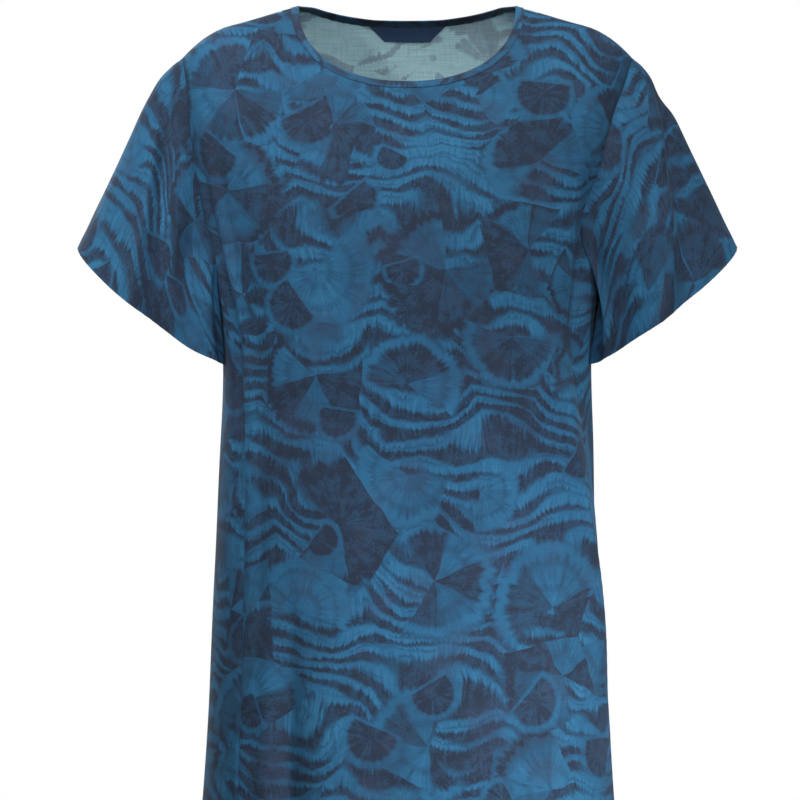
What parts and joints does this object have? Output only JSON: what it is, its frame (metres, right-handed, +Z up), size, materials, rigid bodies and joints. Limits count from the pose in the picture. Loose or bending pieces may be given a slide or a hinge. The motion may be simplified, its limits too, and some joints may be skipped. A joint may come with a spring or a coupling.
{
  "type": "maxi dress",
  "caption": "Long straight dress that flares towards its hem, with short flared set-in sleeves and a bound scoop neck, hollow and shaped as worn.",
  "frame": {"origin": "midway between the two shoulder seams, at the height of their middles, where a wearer's shoulders carry the dress", "axes": "+Z up, the front faces -Y, +X towards the wearer's left sleeve"},
  "size_m": [0.625, 0.3577, 1.4019],
  "materials": {
    "printed_cloth": "matte",
    "neck_binding_cloth": "matte",
    "label_satin": "satin"
  },
  "bodies": {
    "root": {"front_panel": "printed_cloth", "back_panel": "printed_cloth", "sleeve_right": "printed_cloth", "sleeve_left": "printed_cloth", "neck_binding": "neck_binding_cloth", "neck_label": "label_satin"}
  },
  "joints": []
}
